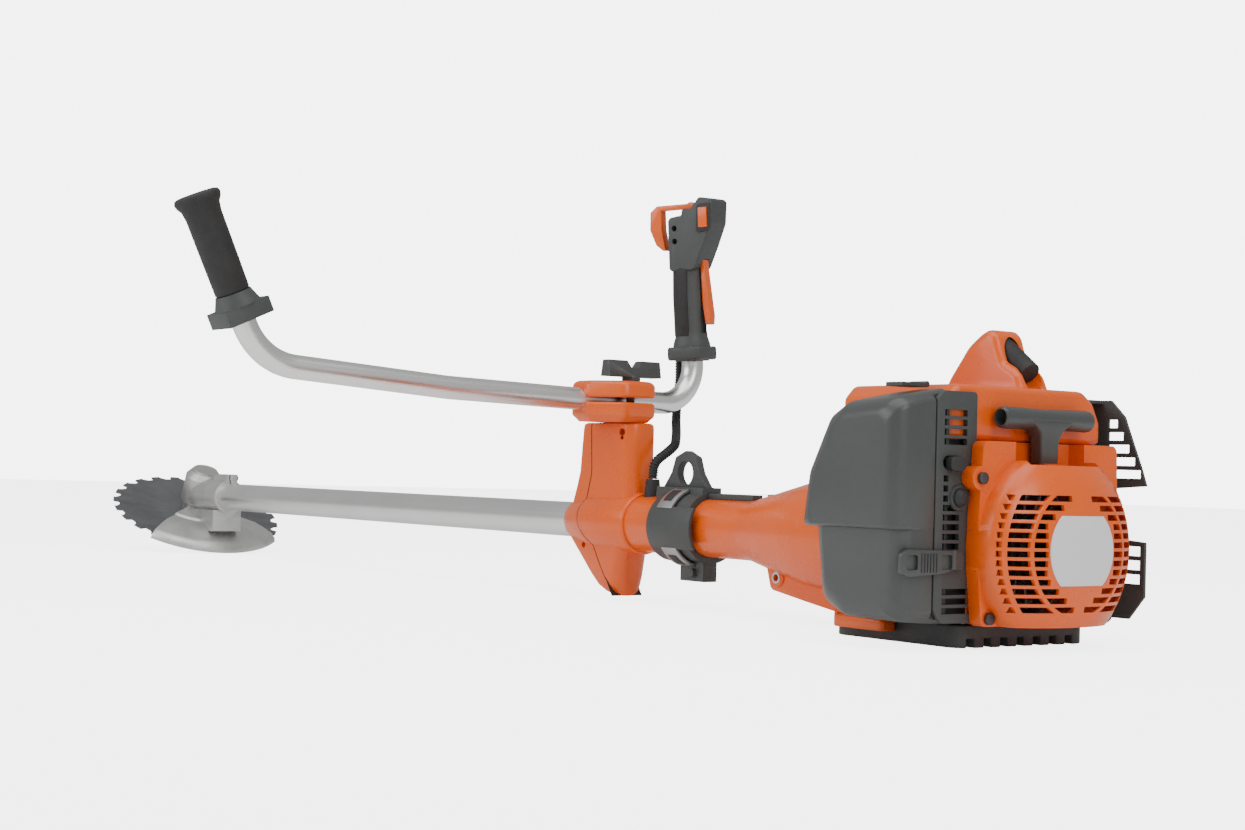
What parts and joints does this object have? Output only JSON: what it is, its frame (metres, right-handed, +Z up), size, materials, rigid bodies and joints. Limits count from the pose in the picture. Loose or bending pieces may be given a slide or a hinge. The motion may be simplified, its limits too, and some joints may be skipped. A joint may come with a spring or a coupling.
{
  "type": "brush cutter",
  "caption": "Petrol brush cutter with a toothed saw blade, cast blade guard, long shaft tube, wide handlebars with throttle grip, and a rear engine with recoil starter.",
  "frame": {"origin": "centre of the foot pad's underside, on the floor", "axes": "+X from the blade towards the engine's rear along the shaft axis, +Z up, -Y the air filter side"},
  "size_m": [1.6787, 0.5853, 0.4035],
  "materials": {
    "orange_plastic": "gloss moulded orange nylon",
    "grey_plastic": "satin moulded dark grey nylon",
    "black_rubber": "matte moulded rubber",
    "bare_aluminium": "satin drawn aluminium",
    "cast_aluminium": "tumbled casting",
    "blade_steel": "ground and lacquered steel",
    "bright_steel": "machined steel",
    "spring_steel": "blued spring strip",
    "filter_foam": "oiled foam and felt",
    "clear_bulb": "smoked soft plastic",
    "bush_bronze": "sintered bronze"
  },
  "bodies": {
    "root": {"foot_pad": "grey_plastic", "fuel_tank": "grey_plastic", "crankcase": "cast_aluminium", "cylinder": "cast_aluminium", "piston_and_rod": "bright_steel", "clutch_housing": "orange_plastic", "ball_bearings": "bright_steel", "shaft_tube": "bare_aluminium", "shaft_bushes": "bush_bronze", "gear_housing": "cast_aluminium", "blade_guard": "cast_aluminium", "tower_rear": "orange_plastic", "tower_front": "orange_plastic", "tower_seal": "black_rubber", "slide_rail": "grey_plastic", "hose_boot": "black_rubber", "starter_housing": "orange_plastic", "recoil_spring": "spring_steel", "starter_rope": "black_rubber", "top_cover": "orange_plastic", "plug_boot": "black_rubber", "muffler": "bright_steel", "muffler_guard": "grey_plastic", "vent_panel": "grey_plastic", "air_filter": "filter_foam", "carburettor": "cast_aluminium", "cover_screws": "bright_steel", "hose_lower": "black_rubber"},
    "crank": {"crankshaft": "bright_steel", "flywheel_fan": "cast_aluminium", "clutch_shoes": "bright_steel"},
    "drive": {"drive_shaft": "bright_steel", "clutch_drum": "bright_steel", "bevel_pinion": "bright_steel"},
    "blade": {"saw_blade": "blade_steel", "output_spindle": "bright_steel", "bevel_wheel": "bright_steel", "blade_flanges": "bright_steel"},
    "harness_band": {"band_clamp": "grey_plastic", "harness_eye": "grey_plastic"},
    "bar_clamp": {"clamp_base": "orange_plastic", "clamp_cap": "orange_plastic"},
    "knob": {"clamp_knob": "grey_plastic"},
    "handlebar": {"handlebar": "bare_aluminium", "left_grip": "black_rubber", "left_collar": "grey_plastic", "throttle_handle_outer": "grey_plastic", "throttle_handle_inner": "grey_plastic", "hose_upper": "black_rubber"},
    "trigger": {"throttle_trigger": "orange_plastic"},
    "lock": {"lock_lever": "orange_plastic"},
    "switch": {"stop_switch": "orange_plastic"},
    "starter_pull": {"pull_handle": "grey_plastic"},
    "pulley": {"starter_pulley": "grey_plastic"},
    "filter_lid": {"filter_cover": "grey_plastic"},
    "side_latch": {"cover_latch_side": "grey_plastic"},
    "top_latch": {"cover_latch_top": "grey_plastic"},
    "choke": {"choke_knob": "grey_plastic"},
    "purge": {"purge_bulb": "clear_bulb"},
    "tank_cap": {"fuel_cap": "grey_plastic"}
  },
  "joints": [
    {"name": "blade_spin", "type": "hinge", "parent": "root", "child": "blade", "pos_m": [-1.44, 0, 0.075], "axis": [0.4067, 0, 0.9135], "continuous": true},
    {"name": "drive_spin", "type": "hinge", "parent": "root", "child": "drive", "pos_m": [-1.44, 0, 0.075], "axis": [1, 0, 0], "continuous": true},
    {"name": "crank_spin", "type": "hinge", "parent": "root", "child": "crank", "pos_m": [0, 0, 0.075], "axis": [1, 0, 0], "continuous": true},
    {"name": "band_slide", "type": "slide", "parent": "root", "child": "harness_band", "axis": [1, 0, 0], "range_m": [-0.01, 0.05]},
    {"name": "clamp_swivel", "type": "hinge", "parent": "root", "child": "bar_clamp", "pos_m": [-0.449, 0, 0.19], "axis": [0, 0, 1], "range_deg": [-90, 0], "deforming": ["hose_lower"]},
    {"name": "knob_turn", "type": "hinge", "parent": "bar_clamp", "child": "knob", "pos_m": [-0.449, 0, 0.19], "axis": [0, 0, 1], "range_deg": [0, 720]},
    {"name": "bar_tilt", "type": "hinge", "parent": "bar_clamp", "child": "handlebar", "pos_m": [-0.47, 0, 0.1944], "axis": [0, 1, 0], "range_deg": [-15, 15]},
    {"name": "trigger_press", "type": "hinge", "parent": "handlebar", "child": "trigger", "pos_m": [-0.46436, 0.08236, 0.39451], "axis": [0.342, -0.9372, -0.0688], "range_deg": [0, 9], "stiffness_Nm_per_rad": 0.6},
    {"name": "lock_press", "type": "hinge", "parent": "handlebar", "child": "lock", "pos_m": [-0.45356, 0.0905, 0.33745], "axis": [-0.342, 0.9372, 0.0688], "range_deg": [0, 5], "stiffness_Nm_per_rad": 0.6},
    {"name": "switch_slide", "type": "slide", "parent": "handlebar", "child": "switch", "axis": [0, 0.0732, -0.9973], "range_m": [0, 0.005]},
    {"name": "starter_pull", "type": "slide", "parent": "root", "child": "starter_pull", "axis": [0, 0, 1], "range_m": [0, 0.4], "deforming": ["starter_rope"]},
    {"name": "pulley_spin", "type": "hinge", "parent": "root", "child": "pulley", "pos_m": [0.086, 0, 0.075], "axis": [1, 0, 0], "range_deg": [-1, 900]},
    {"name": "lid_pull", "type": "slide", "parent": "root", "child": "filter_lid", "axis": [0, -1, 0], "range_m": [0, 0.12]},
    {"name": "side_latch_turn", "type": "hinge", "parent": "root", "child": "side_latch", "pos_m": [0.083, -0.092, 0.067], "axis": [0, 0, 1], "range_deg": [0, 80]},
    {"name": "top_latch_turn", "type": "hinge", "parent": "root", "child": "top_latch", "pos_m": [0.043, -0.092, 0.1974], "axis": [-1, 0, 0], "range_deg": [0, 80]},
    {"name": "choke_pull", "type": "slide", "parent": "root", "child": "choke", "axis": [1, 0, 0], "range_m": [0, 0.008]},
    {"name": "purge_press", "type": "slide", "parent": "root", "child": "purge", "axis": [-1, 0, 0], "range_m": [0, 0.004], "stiffness_N_per_m": 800},
    {"name": "cap_turn", "type": "hinge", "parent": "root", "child": "tank_cap", "pos_m": [-0.07, 0.05, 0.03], "axis": [-1, 0, 0], "range_deg": [0, 360]}
  ],
  "couplings": [
    {"joint": "drive_spin", "follows": "blade_spin", "ratio": -1.4615},
    {"joint": "pulley_spin", "follows": "starter_pull", "rad_per_m": 39.216}
  ]
}
